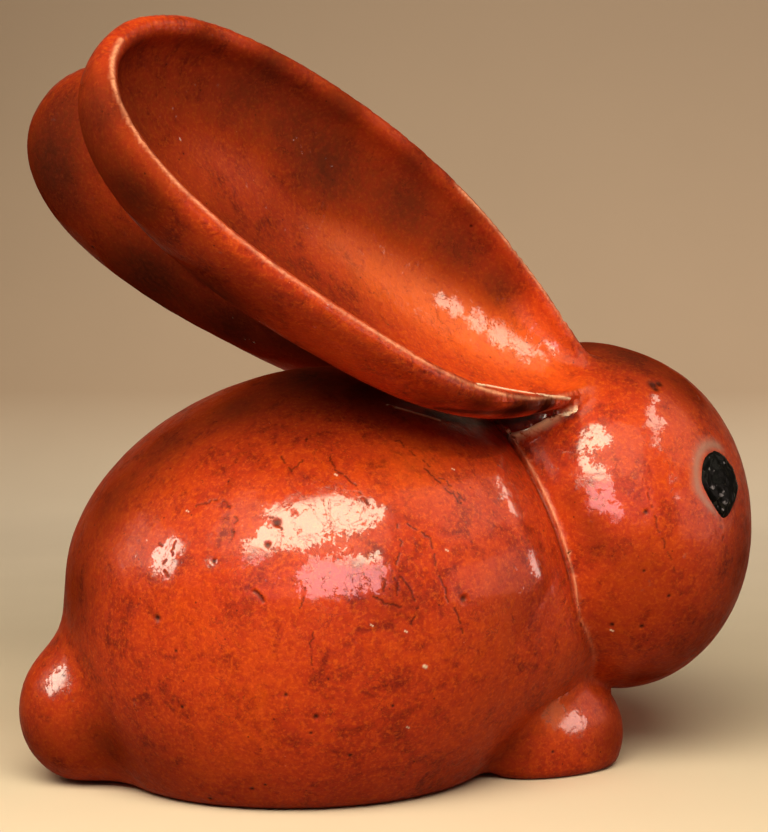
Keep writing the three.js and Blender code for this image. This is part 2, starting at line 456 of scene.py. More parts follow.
def place_on_head(sizes, azimuth, elevation):
    """A place on the right side of the head, with the directions out of it, sideways and up."""
    turn = Matrix.Rotation(sizes.head_pitch, 3, "Y")
    half = Vector(sizes.head_half)
    ray = turn.transposed() @ Vector((
        math.cos(elevation) * math.cos(azimuth),
        -math.cos(elevation) * math.sin(azimuth),
        math.sin(elevation),
    ))
    spot = ray / Vector([ray[i] / half[i] for i in range(3)]).length
    out = (turn @ Vector([spot[i] / half[i] ** 2 for i in range(3)])).normalized()
    up = (UP - out * UP.dot(out)).normalized()
    return turn @ spot + Vector(sizes.head_centre), out, up.cross(out), up


def drop_form(sizes, azimuth, elevation, half, sink, taper, lean=0.0, lumps=0.0):
    """A drop-shaped swelling on the head, narrower towards its lower end."""
    spot, out, sideways, up = place_on_head(sizes, azimuth, elevation)
    lean = Matrix.Rotation(lean, 3, out)
    sideways, up = lean @ sideways, lean @ up

    def carry(points):
        x, y, z = points.T
        narrow = 1 - taper * np.maximum(0, -z) ** 1.5
        bulge = half[0] * x - sink
        if lumps:
            bulge = bulge + lumps * (noise_at(points, 2.6) + 0.5 * noise_at(points, 6))
        carried = np.outer(bulge, out)
        carried += np.outer(half[1] * narrow * y, sideways)
        carried += np.outer(half[2] * z, up)
        return carried + spot
    return carry


def clay_forms(sizes):
    """The rabbit's forms by name, each with its columns, its rows and its carrying function."""
    paw = ellipsoid(sizes.paw_centre, sizes.paw_half, sizes.paw_pitch, sizes.paw_yaw)
    ear = Ear(sizes).carry
    nose = drop_form(
        sizes, 0.0, sizes.nose_elevation, sizes.nose_half, sizes.nose_sink, sizes.nose_taper,
    )
    return {
        "trunk": (260, 180, trunk_form(sizes)),
        "chest": (160, 110, ellipsoid(sizes.chest_centre, sizes.chest_half)),
        "head": (220, 150, head_form(sizes)),
        "tail": (110, 80, ellipsoid(sizes.tail_centre, sizes.tail_half, sizes.tail_pitch)),
        "paw_right": (110, 80, paw),
        "paw_left": (110, 80, on_left(paw)),
        "ear_right": (300, 200, ear),
        "ear_left": (300, 200, on_left(ear, sizes.ear_setback)),
        "nose": (48, 32, nose),
    }


def cut_at_floor(mesh):
    """Takes away what lies under the floor and closes the foot."""
    with shaping(mesh) as shape:
        geometry = shape.verts[:] + shape.edges[:] + shape.faces[:]
        bmesh.ops.bisect_plane(
            shape, geom=geometry, plane_co=(0, 0, 0), plane_no=(0, 0, -1), clear_outer=True,
        )
        rim = [edge for edge in shape.edges if edge.is_boundary]
        if rim:
            bmesh.ops.holes_fill(shape, edges=rim, sides=0)


def tree_of(mesh):
    shape = bmesh.new()
    shape.from_mesh(mesh)
    tree = BVHTree.FromBMesh(shape)
    shape.free()
    return tree


def inside_box(points, held, margin):
    """Which points lie within a margin of the box that holds the others."""
    low, high = held.min(axis=0) - margin, held.max(axis=0) + margin
    return np.nonzero(np.all((points > low) & (points < high), axis=1))[0]


class Clay:
    """The joined clay as distances: below 0 inside it, 0 on its surface."""

    REACH = mm(12)
    FAR = 1.0  # how far away a form out of reach is taken to be

    def __init__(self, sizes, joins):
        self.joins = joins
        self.seat = np.array(sizes.seat)
        self.meshes = {}
        self.trees = {}
        for name, (columns, rows, carry) in clay_forms(sizes).items():
            mesh = carried_ball(columns, rows, carry)
            write_points(mesh, read_points(mesh) + self.seat)
            self.trees[name] = tree_of(mesh)
            self.meshes[name] = mesh

    def distances(self, points, reach):
        """Signed distance of each point to each form, as far as reach."""
        found = {}
        for name, tree in self.trees.items():
            values = np.full(len(points), self.FAR)
            for index in inside_box(points, read_points(self.meshes[name]), reach):
                point = Vector(points[index])
                spot, normal, _, distance = tree.find_nearest(point, reach)
                if spot is not None:
                    values[index] = distance if (point - spot).dot(normal) > 0 else -distance
            found[name] = values
        return found

    def surface(self, points):
        """Signed distance to the joined and smoothed clay, and to each form."""
        form = self.distances(points, self.REACH)
        joins = self.joins
        face = blend(form["head"], form["nose"], joins.nose)
        whole = form["trunk"]
        for part, join in (
            (form["chest"], joins.chest), (form["tail"], joins.tail),
            (form["paw_right"], joins.paw), (form["paw_left"], joins.paw), (face, joins.neck),
            (form["ear_right"], joins.ear), (form["ear_left"], joins.ear),
        ):
            whole = blend(whole, part, join)
        return -blend(-whole, points[:, 2], joins.foot), form


def blend(first, second, width):
    """The lesser of two distances, rounded where they are nearly alike."""
    near = np.maximum(width - np.abs(first - second), 0) / width
    return np.minimum(first, second) - near * near * width / 4


# Meshes of the clay

def joined_mesh(meshes, voxel):
    """One closed mesh over all the forms, above the floor."""
    joined = bpy.data.meshes.new("joined_clay")
    with shaping(joined) as shape:
        for mesh in meshes:
            copy = mesh.copy()
            cut_at_floor(copy)
            shape.from_mesh(copy)
            bpy.data.meshes.remove(copy)
    holder = bpy.data.objects.new("joined_clay", joined)
    bpy.context.scene.collection.objects.link(holder)
    remesh = holder.modifiers.new("Clay", "REMESH")
    remesh.mode = "VOXEL"
    remesh.voxel_size = voxel
    bpy.context.view_layer.update()
    evaluated = holder.evaluated_get(bpy.context.evaluated_depsgraph_get())
    whole = bpy.data.meshes.new_from_object(evaluated)
    bpy.data.objects.remove(holder)
    bpy.data.meshes.remove(joined)
    return whole


def normals_of(mesh):
    normals = np.empty(len(mesh.vertices) * 3)
    mesh.vertex_normals.foreach_get("vector", normals)
    return normals.reshape(-1, 3)


FARTHEST_STEP = mm(1.5)


def settle(mesh, clay, rounds):
    """Moves every point onto the clay's surface along its normal."""
    for _ in range(rounds):
        points = read_points(mesh)
        depth, form = clay.surface(points)
        depth = np.clip(depth, -FARTHEST_STEP, FARTHEST_STEP)
        write_points(mesh, points - normals_of(mesh) * depth[:, None])
    return form


def refine(mesh, chosen):
    """Cuts in two every edge whose ends are both chosen."""
    with shaping(mesh) as shape:
        edges = [edge for edge in shape.edges if all(chosen[vert.index] for vert in edge.verts)]
        bmesh.ops.subdivide_edges(shape, edges=edges, cuts=1, use_grid_fill=True)


def relax(mesh, strength):
    """Evens out the points, without moving the open forms much."""
    with shaping(mesh) as shape:
        bmesh.ops.smooth_vert(
            shape, verts=shape.verts[:], factor=strength,
            use_axis_x=True, use_axis_y=True, use_axis_z=True,
        )


def near_joins(form, width):
    """The points that lie on one form and close to another."""
    gaps = np.sort(np.abs(np.stack(list(form.values()))), axis=0)
    return gaps[1] < width


# Marks in the clay, each with its place as pixels of the photograph and its sizes in millimetres

# Pits: place, radius and depth
PITS = {
    "flank_rear": ((157, 618), 1.00, 0.63),
    "flank_low_rear": ((182, 707), 0.56, 0.28),
    "flank_cluster": ((214, 561), 0.72, 0.35),
    "flank_front": ((464, 599), 1.04, 0.63),
    "flank_low": ((316, 717), 0.80, 0.49),
    "flank_low_small": ((311, 733), 0.48, 0.28),
    "flank_middle_small": ((286, 695), 0.56, 0.28),
    "flank_upper_small": ((176, 651), 0.48, 0.21),
    "flank_right_small": ((393, 706), 0.48, 0.28),
    "foot_rear": ((210, 799), 0.72, 0.35),
    "foot_middle": ((252, 789), 0.64, 0.35),
    "foot_front": ((350, 755), 0.56, 0.28),
    "foot_edge": ((265, 785), 0.48, 0.28),
    "island_upper": ((277, 523), 1.28, 0.35),
    "island_lower": ((268, 545), 0.88, 0.28),
    "brow_spot": ((653, 385), 1.7, 0.3),
    "brow_spot_front": ((659, 384), 1.3, 0.3),
    "brow_spot_low": ((656, 389), 1.1, 0.3),
    "cheek_upper": ((646, 512), 0.72, 0.42),
    "cheek_middle": ((644, 571), 0.48, 0.28),
    "cheek_front": ((669, 596), 0.56, 0.35),
    "cheek_low": ((642, 627), 0.72, 0.42),
    "cheek_rear": ((612, 625), 0.72, 0.35),
    "far_ear_spot": ((93, 247), 0.72, 0.28),
    "bowl_speck": ((471, 226), 0.48, 0.21),
    "rim_speck": ((183, 154), 0.32, 0.14),
    "paw_speck": ((553, 752), 0.48, 0.21),
}

# Cracks: line, half width, depth and how dark they are
CRACKS = {
    "slit": (((251, 590), (258, 594), (264, 601), (268, 604)), 0.53, 0.42, 0.78),
    "flank_long": (
        ((396, 525), (400, 542), (395, 570), (411, 590), (417, 605), (410, 637)), 0.33, 0.10, 0.77,
    ),
    "flank_front_long": (
        ((402, 517), (430, 540), (442, 585), (462, 625), (467, 647)), 0.33, 0.10, 0.77,
    ),
    "flank_front_upper": (((422, 467), (445, 487), (462, 505)), 0.33, 0.10, 0.78),
    "flank_front_top": (((395, 441), (420, 458), (444, 480), (466, 500)), 0.30, 0.08, 0.70),
    "net": (((377, 571), (386, 578), (383, 590), (392, 598)), 0.34, 0.08, 0.78),
    "net_low": (((374, 596), (384, 604), (396, 603), (403, 612)), 0.34, 0.08, 0.78),
    "net_front": (((392, 572), (399, 584), (396, 596)), 0.30, 0.08, 0.70),
    "puddle_crack": (((270, 518), (277, 524), (283, 533), (279, 540)), 0.38, 0.08, 0.78),
    "flank_low_hair": (((312, 632), (310, 652), (314, 670)), 0.25, 0.07, 0.77),
    "flank_middle_hair": (((305, 587), (299, 612)), 0.25, 0.07, 0.77),
    "patch_edge": (((195, 507), (212, 500), (227, 502), (237, 520), (232, 542)), 0.36, 0.08, 0.66),
    "upper_wrinkle": (
        ((282, 455), (292, 472), (299, 462), (305, 445), (310, 437)), 0.33, 0.08, 0.77,
    ),
    "upper_wrinkle_front": (((330, 457), (335, 470), (347, 477), (370, 505)), 0.33, 0.08, 0.77),
    "cluster_crack": (((160, 543), (167, 556), (163, 566), (169, 577)), 0.40, 0.12, 0.77),
    "cluster_crack_front": (((176, 541), (174, 556), (184, 562)), 0.36, 0.12, 0.66),
    "cheek_hair": (((650, 490), (657, 520), (667, 550), (677, 575)), 0.30, 0.08, 0.66),
    "cheek_hair_rear": (((573, 549), (567, 558), (565, 568)), 0.30, 0.08, 0.55),
    "eye_drip": (((721, 517), (722, 528), (722, 541)), 0.33, 0.05, 0.66),
}

# Chips: place and radius
CHIPS = {
    "flank_front_chip": ((424, 666), 0.75),
    "flank_chip": ((405, 631), 0.4),
    "flank_low_chip": ((371, 625), 0.35),
    "flank_upper_chip": ((452, 469), 0.35),
    "flank_middle_chip": ((446, 550), 0.35),
    "cheek_chip": ((611, 630), 0.5),
    "low_chip": ((407, 727), 0.4),
    "upper_chip": ((335, 475), 0.4),
    "rear_chip": ((187, 511), 0.35),
}

# Patches painted darker as shade, where the near ear shades the far ear and the back, in the ear
# bowls, on the head's top, at the foot and under the chin, and partly darker fired glaze: middle,
# radius and strength
BURNT_AND_SHADE = {
    "bowl_tip": ((175, 90), 15, 0.50),
    "bowl_upper": ((240, 95), 20, 0.80),
    "bowl_upper_front": ((300, 120), 16, 0.70),
    "bowl_middle": ((330, 170), 18, 0.92),
    "bowl_front": ((405, 205), 19, 0.88),
    "bowl_rise": ((460, 250), 13, 0.80),
    "bowl_root": ((500, 285), 9, 0.80),
    "bowl_foot": ((280, 215), 12, 0.35),
    "ear_back_tip": ((104, 105), 13, 0.75),
    "ear_back_top": ((135, 195), 14, 0.85),
    "ear_back": ((215, 290), 16, 0.86),
    "ear_back_low": ((290, 345), 13, 0.72),
    "ear_under": ((365, 388), 12, 0.75),
    "ear_under_front": ((430, 402), 8, 0.6),
    "ear_under_root": ((480, 405), 6, 0.8),
    "ear_wedge_shadow": ((515, 412), 6, 0.9),
    "ear_wedge_tip": ((545, 408), 4, 0.9),
    "far_ear": ((50, 165), 28, 0.96),
    "far_ear_rim": ((70, 110), 12, 0.6),
    "far_ear_low": ((150, 275), 24, 0.98),
    "far_ear_root": ((230, 330), 22, 0.95),
    "back_top": ((310, 376), 18, 0.98),
    "back": ((235, 408), 12, 0.75),
    "back_rear": ((170, 440), 15, 0.75),
    "shoulder": ((110, 500), 16, 0.72),
    "rear": ((75, 590), 16, 0.65),
    "foot_rear": ((160, 770), 16, 0.40),
    "foot": ((250, 800), 13, 0.30),
    "foot_middle": ((350, 798), 13, 0.25),
    "foot_front": ((440, 785), 13, 0.25),
    "tail": ((40, 745), 14, 0.50),
    "tail_front": ((105, 745), 12, 0.70),
    "head_crown": ((590, 345), 10, 0.72),
    "head_top": ((630, 355), 16, 0.92),
    "head_brow": ((690, 390), 14, 0.70),
    "head_front": ((742, 560), 13, 0.5),
    "head_chin": ((700, 640), 14, 0.42),
    "chin": ((640, 680), 12, 0.65),
    "cheek": ((630, 560), 10, 0.25),
    "cheek_middle": ((655, 595), 15, 0.25),
    "cheek_low": ((600, 630), 10, 0.25),
    "neck_side": ((520, 600), 12, 0.25),
    "paw_side": ((510, 755), 9, 0.50),
    "paw_tip": ((612, 740), 8, 0.50),
    "rim_top": ((205, 36), 6, 0.55),
    "rim_top_middle": ((275, 64), 6, 0.6),
    "rim_top_front": ((345, 105), 6, 0.6),
    "rim_upper": ((415, 160), 5, 0.5),
    "rim_upper_front": ((470, 212), 4, 0.4),
    "cheek_pool": ((590, 522), 4.5, 0.45),
    "cheek_pool_low": ((598, 545), 4.5, 0.4),
    "cheek_pool_rear": ((572, 500), 4, 0.35),
    "flank_pool_low": ((392, 600), 7, 0.30),
}

# Painted light: patches lightened where the light falls brightest, on the ear bowl's lower wall,
# the upper flank, the rim's foot and the paw: middle, radius and strength
PAINTED_LIGHT = {
    "bowl_rear": ((335, 243), 9, 0.35),
    "bowl": ((375, 275), 10, 0.65),
    "bowl_middle": ((420, 300), 11, 0.75),
    "bowl_front": ((465, 325), 11, 0.85),
    "bowl_root": ((505, 345), 10, 0.75),
    "bowl_end": ((540, 358), 8, 0.6),
    "rim_foot": ((575, 385), 5, 0.4),
    "flank_top": ((415, 468), 12, 0.3),
    "paw": ((556, 714), 5.5, 0.5),
}

# Glossy pools, which also set where a crimson sheen is painted round them: middle and radius
GLOSS = {
    "puddle": ((312, 513), 8.0),
    "puddle_left": ((286, 523), 6.2),
    "puddle_right": ((341, 513), 7.2),
    "puddle_tip": ((378, 514), 2.4),
    "puddle_front": ((362, 513), 4.2),
    "puddle_join": ((269, 537), 3.8),
    "puddle_low": ((300, 538), 4.0),
    "puddle_blob": ((256, 550), 4.0),
    "haze": ((322, 579), 6.4),
    "haze_right": ((350, 575), 6.2),
    "haze_tip": ((374, 573), 4.4),
    "rear_cluster": ((166, 562), 4.6),
    "rear_cluster_top": ((175, 549), 3.4),
    "rear_cluster_front": ((211, 563), 2.0),
    "neck_top": ((502, 466), 3.0),
    "neck": ((508, 490), 4.2),
    "neck_low": ((517, 510), 3.0),
    "neck_foot": ((536, 562), 3.6),
    "cheek_rear": ((570, 446), 3.2),
    "cheek_top": ((595, 437), 4.2),
    "cheek_streak": ((584, 459), 2.6),
    "cheek": ((594, 480), 4.6),
    "cheek_low": ((600, 500), 4.2),
    "cheek_tip": ((615, 514), 2.6),
    "brow_top": ((655, 399), 1.7),
    "brow_rear": ((650, 411), 2.2),
    "brow_foot": ((660, 449), 1.2),
    "brow": ((656, 424), 3.1),
    "brow_low": ((653, 440), 2.3),
    "cheek_front_top": ((672, 478), 1.5),
    "cheek_front": ((675, 495), 1.6),
    "tail_rear": ((54, 690), 2.6),
    "ridge_top": ((563, 412), 1.8),
    "ridge": ((547, 421), 2.0),
    "ridge_foot": ((530, 430), 1.8),
    "tail": ((61, 682), 4.6),
    "paw": ((554, 714), 4.0),
    "paw_front": ((575, 724), 4.0),
    "bowl": ((441, 300), 2.4),
    "bowl_middle": ((455, 307), 3.2),
    "bowl_front": ((478, 321), 3.8),
    "bowl_root": ((502, 336), 4.6),
    "bowl_low": ((525, 345), 4.8),
    "bowl_foot": ((545, 350), 3.2),
    "ear_pool": ((414, 412), 4.0),
    "ear_pool_front": ((450, 424), 4.0),
}

# Lines on both sides: line, half width, height and tone, which is dark above 0 and pale below it
LINES = {
    # A raised ridge at the ear's root, painted pale also as its highlight
    "ear_ridge": (
        ((573, 406), (560, 415), (546, 426), (533, 433), (520, 437), (510, 438)), 1.3, 3.0, -1.0,
    ),
    # Painted shadow in the wedge under the ear's lip
    "ear_wedge_shadow": (
        ((440, 409), (462, 412), (485, 413), (508, 411), (530, 408), (553, 403)), 2.4, -0.3, 0.9,
    ),
    "ear_shade": (
        ((430, 414), (455, 420), (480, 423), (505, 422), (528, 416), (548, 408)), 2.2, 0.0, 0.95,
    ),
    "rim_foot": (((478, 384), (505, 389), (535, 394), (571, 399)), 0.5, 0.3, -0.9),
    # A painted highlight streak on the glaze pool in the valley under the ear
    "valley_highlight_streak": (((388, 405), (405, 410), (422, 415), (440, 421)), 0.5, 0.3, -0.6),
    "neck_swell": (((497, 452), (503, 485), (515, 515), (530, 550), (540, 578)), 3.5, 0.7, 0.0),
}
CRACK_SEED = 1  # unset, the cracks would wander another way in each run
CRACK_WANDER = 1.6
CHIP_SPREAD = (1.8, 0.9)  # pixels from a chip's first sample to its second
CHIP_SHARE = 0.65  # each sample's radius as a share of the chip's
CHIP_HEIGHT = 0.15


def near_samples(points, samples, limit):
    """The points within a limit of some samples, and how far they are from them."""
    near = inside_box(points, samples, limit)
    tree = KDTree(len(samples))
    for index, sample in enumerate(samples):
        tree.insert(sample, index)
    tree.balance()
    gaps = np.array([tree.find(points[index])[2] for index in near])
    return near, gaps


class Marks:
    """Pits, cracks and ridges, as samples on the clay with a height, a width and a tone."""

    STEP = 1.0  # pixels from one sample to the next
    REACH = 3  # how far a mark reaches, in its widths
    TONE_GAIN, TONE_CUT = 1.35, 0.12
    BEND_BROAD, BEND_FINE, BEND_REACH = 0.09, 0.37, 2.2  # how a line wanders
    BREAK_SCALE, BREAK_BELOW = 0.13, -0.05  # where a line fades

    def __init__(self, mesh, camera):
        self.tree = tree_of(mesh)
        self.camera = camera
        self.marks = []

    def cast(self, pixel):
        start, direction = pixel_ray(self.camera, pixel)
        spot, _, _, _ = self.tree.ray_cast(start, direction)
        if spot is None:
            raise ValueError("a mark misses the clay at pixel %s" % (pixel,))
        return spot

    def spread(self, pixel, points):
        """For the right side and the left, how far the points are from a mark, squared."""
        middle = np.array(self.cast(pixel))
        for side in (middle, middle * MIRROR):
            yield ((points - side) ** 2).sum(axis=1)

    def across(self, pixels, wander):
        """Samples along a line of pixels, wandering from side to side and broken where it fades."""
        samples = []
        for begin, end in zip(pixels, pixels[1:]):
            begin, end = Vector(begin), Vector(end)
            steps = max(1, round((end - begin).length / self.STEP))
            for step in range(steps):
                pixel = begin.lerp(end, step / steps)
                where = Vector((pixel.x, pixel.y, 0))
                aside = noise.noise_vector(where * self.BEND_BROAD) * self.BEND_REACH
                aside += noise.noise_vector(where * self.BEND_FINE)
                fading = noise.noise(where * self.BREAK_SCALE + Vector((0, 0, 7)))
                if wander and fading < self.BREAK_BELOW:
                    continue
                samples.append(self.cast((pixel.x + aside.x * wander, pixel.y + aside.y * wander)))
        return samples

    def add(self, samples, width, height, tone, both=False):
        samples = np.array(samples)
        self.marks.append((samples, width, height, tone))
        if both:
            self.marks.append((samples * MIRROR, width, height, tone))

    def distances(self, points, reach):
        """For each mark, the points that it reaches and how far they are from it."""
        for samples, width, height, tone in self.marks:
            near, gaps = near_samples(points, samples, reach(width))
            yield near, gaps, width, height, tone

    def reached(self, points, reach):
        chosen = np.zeros(len(points), bool)
        for near, gaps, width, _, _ in self.distances(points, reach):
            chosen[near[gaps < reach(width)]] = True
        return chosen

    def reach(self, width):
        return width * self.REACH

    def heights(self, points):
        """Height, dark tone and light tone of the marks at each point."""
        total = np.zeros(len(points))
        dark = np.zeros(len(points))
        light = np.zeros(len(points))
        for near, gaps, width, height, tone in self.distances(points, self.reach):
            share = bell(gaps, width)
            total[near] += share * height
            shade = np.clip(share * self.TONE_GAIN - self.TONE_CUT, 0, 1) * abs(tone)
            target = dark if tone > 0 else light
            target[near] = np.maximum(target[near], shade)
        return total, dark, light


def photo_marks(mesh, camera):
    """Every mark that the photograph shows, on the right side, and the lines on both sides."""
    noise.seed_set(CRACK_SEED)
    marks = Marks(mesh, camera)
    for pixel, radius, depth in PITS.values():
        marks.add([marks.cast(pixel)], mm(radius), -mm(depth), 1.0)
    for pixels, width, depth, tone in CRACKS.values():
        marks.add(marks.across(pixels, CRACK_WANDER), mm(width), -mm(depth), tone)
    for pixel, radius in CHIPS.values():
        beside = (pixel[0] + CHIP_SPREAD[0], pixel[1] + CHIP_SPREAD[1])
        samples = [marks.cast(pixel), marks.cast(beside)]
        marks.add(samples, mm(radius * CHIP_SHARE), mm(CHIP_HEIGHT), -1.0)
    for pixels, width, height, tone in LINES.values():
        marks.add(marks.across(pixels, 0), mm(width), mm(height), tone, both=True)
    return marks


def shade_smooth(mesh):
    mesh.polygons.foreach_set("use_smooth", [True] * len(mesh.polygons))
    mesh.update()


def new_piece(name, mesh):
    piece = bpy.data.objects.new(name, mesh)
    bpy.context.scene.collection.objects.link(piece)
    return piece


# Materials

# Tones that the clay's points hold for the glaze, among them painted shade, painted light and
# painted highlight
TONES = ("dark_marks_and_shade", "edge", "rim", "under", "burn_and_shade", "pale_orange_and_painted_light", "gloss", "halo")
# The backdrop is painted darker towards its top as shade
WALL_SHADE_SHARE = 0.54  # how bright the top of the backdrop is against its foot
BOUNCED_SHARE = 0.36  # how much of its colour the floor throws back on the rabbit


def add_tone(mesh, name, values):
    """Keeps a value of 0 to 1 for every point, for the material to read."""
    layer = mesh.attributes.new(name, "FLOAT", "POINT")
    layer.data.foreach_set("value", np.clip(values, 0, 1).astype(np.float32))


class Nodes:
    """A node tree that is filled from left to right."""

    MIX_FACTOR, MIX_FIRST, MIX_SECOND, MIX_RESULT = 0, 6, 7, 2  # sockets of a colour mix

    def __init__(self, tree):
        self.tree = tree

    def add(self, kind, inputs=None, **settings):
        node = self.tree.nodes.new(kind)
        for name, value in settings.items():
            setattr(node, name, value)
        for socket, value in (inputs or {}).items():
            self.feed(node.inputs[socket], value)
        return node

    def feed(self, socket, value):
        if isinstance(value, bpy.types.NodeSocket):
            self.tree.links.new(value, socket)
        elif hasattr(value, "__len__") and len(value) == 3 and socket.type == "RGBA":
            socket.default_value = (*value, 1.0)
        else:
            socket.default_value = value

    def noise(self, vector, scale, detail=2.0, roughness=0.5, distortion=0.0):
        node = self.add("ShaderNodeTexNoise", {
            "Vector": vector, "Scale": scale, "Detail": detail, "Roughness": roughness,
            "Distortion": distortion,
        })
        return node.outputs["Fac"]

    def ramp(self, value, low, high, start=0.0, end=1.0):
        node = self.add("ShaderNodeMapRange", {
            "Value": value, "From Min": low, "From Max": high, "To Min": start, "To Max": end,
        }, clamp=True)
        return node.outputs["Result"]

    def tone(self, name):
        """One of the values kept on the piece's points."""
        return self.add("ShaderNodeAttribute", attribute_name=name).outputs["Fac"]

    def specks(self, vector, scale, size, rare):
        """Scattered dots: 1 in a dot, 0 between them."""
        cells = self.add("ShaderNodeTexVoronoi", {"Vector": vector, "Scale": scale})
        dot = self.ramp(cells.outputs["Distance"], size, size * 0.5)
        chance = self.add("ShaderNodeSeparateColor", {"Color": cells.outputs["Color"]}).outputs[0]
        return self.times(dot, self.math("GREATER_THAN", chance, rare))

    def sum(self, *parts):
        """Adds values, each with its own weight."""
        total = None
        for value, weight in parts:
            part = self.times(value, weight)
            total = part if total is None else self.math("ADD", total, part)
        return total

    def math(self, operation, first, second=0.0):
        return self.add("ShaderNodeMath", {0: first, 1: second}, operation=operation).outputs[0]

    def times(self, first, second):
        return self.math("MULTIPLY", first, second)

    def mix(self, factor, first, second):
        inputs = {self.MIX_FACTOR: factor, self.MIX_FIRST: first, self.MIX_SECOND: second}
        return self.add("ShaderNodeMix", inputs, data_type="RGBA").outputs[self.MIX_RESULT]

    def bump(self, height, strength, distance):
        inputs = {"Height": height, "Strength": strength, "Distance": mm(distance)}
        return self.add("ShaderNodeBump", inputs).outputs[0]

    def spot(self):
        """The place on the piece, in its own coordinates."""
        return self.add("ShaderNodeTexCoord").outputs["Object"]

    def show(self, shader):
        """Takes a shader as the material's surface."""
        self.add("ShaderNodeOutputMaterial", {"Surface": shader.outputs[0]})


def material(name):
    made = bpy.data.materials.new(name)
    made.use_nodes = True
    made.node_tree.nodes.clear()
    return made, Nodes(made.node_tree)


def orange_glaze(colours):
    """The fired glaze: mottled orange-red, darkened by painted shade and lightened by painted light
    in broad patches, dark where it burnt, glossy where it pooled.
    """
    made, nodes = material("orange_glaze_fired")
    spot = nodes.spot()
    dark_marks_and_shade, edge, rim, under, burn_and_shade, pale_orange_and_painted_light, gloss, halo = map(nodes.tone, TONES)

    broad = nodes.noise(spot, 30, 3, 0.55, 0.8)
    patches = nodes.noise(spot, 110, 4, 0.6, 0.8)
    blotch = nodes.noise(spot, 430, 3, 0.65, 0.4)
    grain = nodes.noise(spot, 1300, 2, 0.6)
    tone = nodes.sum((broad, 0.24), (patches, 0.26), (blotch, 0.34), (grain, 0.16))
    base = nodes.mix(nodes.ramp(tone, 0.41, 0.49), colours.deep, colours.warm)
    base = nodes.mix(nodes.ramp(tone, 0.49, 0.58), base, colours.bright)
    # Painted sheen: crimson haze round the glossy pools
    flush = nodes.times(nodes.ramp(gloss, -1.0, 0.6), nodes.ramp(patches, 0.36, 0.52))
    # Painted light: lighter orange where the light falls brightest
    light = nodes.times(pale_orange_and_painted_light, nodes.ramp(blotch, 0.30, 0.50, 0.5, 1.0))
    freckle = nodes.ramp(nodes.noise(spot, 900, 3, 0.7), 0.50, 0.66, 0.0, 0.40)

    thread = nodes.math("SUBTRACT", nodes.noise(spot, 150, 5, 0.66, 0.6), 0.5)
    net = nodes.ramp(nodes.noise(spot, 75, 3, 0.6), 0.55, 0.66)
    where = nodes.math("MAXIMUM", net, nodes.ramp(gloss, 0.0, 0.5, 0.0, 0.8))
    vein = nodes.times(nodes.ramp(nodes.math("ABSOLUTE", thread), 0.016, 0.0), where)

    broken = nodes.ramp(nodes.noise(spot, 330, 3, 0.6), 0.30, 0.46)
    for share, layer in (
        (nodes.times(flush, 0.7), colours.flush),
        (light, colours.pale_orange_and_painted_light),
        (freckle, colours.pale_orange_and_painted_light),
        (nodes.times(vein, 0.55), colours.dark_specks_and_shade),
        (nodes.times(nodes.specks(spot, 300, 0.11, 0.78), 0.7), colours.dark_specks_and_shade),
        (nodes.times(nodes.specks(spot, 210, 0.045, 0.8), 0.4), colours.edge),
        # Painted shade in broad patches, partly darker fired glaze
        (nodes.times(burn_and_shade, nodes.ramp(blotch, 0.40, 0.60, 0.90, 1.0)), colours.fired_and_shade),
        # Painted shade on the body under the ears
        (nodes.times(under, 0.9), colours.dark_specks_and_shade),
        # Pale bare edges and chips, with painted highlight on the ear ridge and the valley streak
        (nodes.times(edge, broken), colours.bare_edge_and_highlight),
        (nodes.times(rim, nodes.ramp(patches, 0.40, 0.56, 0.35, 0.9)), colours.edge),
        (nodes.times(halo, 0.85), colours.halo),
        # Dark pits and cracks, with the painted shadow along the lines under the ears
        (nodes.times(dark_marks_and_shade, 0.85), colours.dark_specks_and_shade),
    ):
        base = nodes.mix(share, base, layer)

    waves, ripples = nodes.noise(spot, 150, 2, 0.5), nodes.noise(spot, 480, 2, 0.6)
    lumps = nodes.sum((waves, 0.6), (ripples, 0.12), (vein, -0.10))
    fine = nodes.sum((lumps, 1.0), (blotch, 0.5), (grain, 0.15))
    matt = nodes.ramp(nodes.noise(spot, 240, 3, 0.6), 0.40, 0.60)

    crumbs = nodes.math("SUBTRACT", nodes.noise(spot, 640, 3, 0.7, 0.5), 0.5)
    shore = nodes.noise(spot, 230, 5, 0.7, 0.8)
    ragged = nodes.sum((gloss, 0.5), (shore, 1.0), (crumbs, 0.85), (vein, -0.25))
    # Softer pools of gloss where the light is painted
    thin = nodes.ramp(pale_orange_and_painted_light, 0.0, 0.6)
    crisp = nodes.times(nodes.ramp(ragged, 0.745, 0.785), nodes.math("SUBTRACT", 1.0, thin))
    soft = nodes.times(nodes.ramp(ragged, 0.64, 0.90), thin)
    pools = nodes.times(nodes.math("ADD", crisp, soft), nodes.ramp(dark_marks_and_shade, 0.5, 0.0))
    # Less reflection where shade is painted and the glaze fired dark
    outside_shade_and_burn = nodes.ramp(burn_and_shade, 0.0, 0.65, 1.0, 0.0)
    veil = nodes.times(nodes.ramp(gloss, -0.5, 0.5, 0.0, 0.12), outside_shade_and_burn)
    nodes.show(nodes.add("ShaderNodeBsdfPrincipled", {
        "Base Color": base, "Roughness": nodes.ramp(matt, 0, 1, 0.30, 0.48),
        "Normal": nodes.bump(fine, 0.4, 0.9),
        "IOR": 1.24, "Specular IOR Level": nodes.times(outside_shade_and_burn, 0.33),
        "Coat Weight": nodes.math("MAXIMUM", pools, veil), "Coat Roughness": 0.16,
        "Coat IOR": 1.95, "Coat Normal": nodes.bump(lumps, 0.35, 0.9),
    }))
    return made


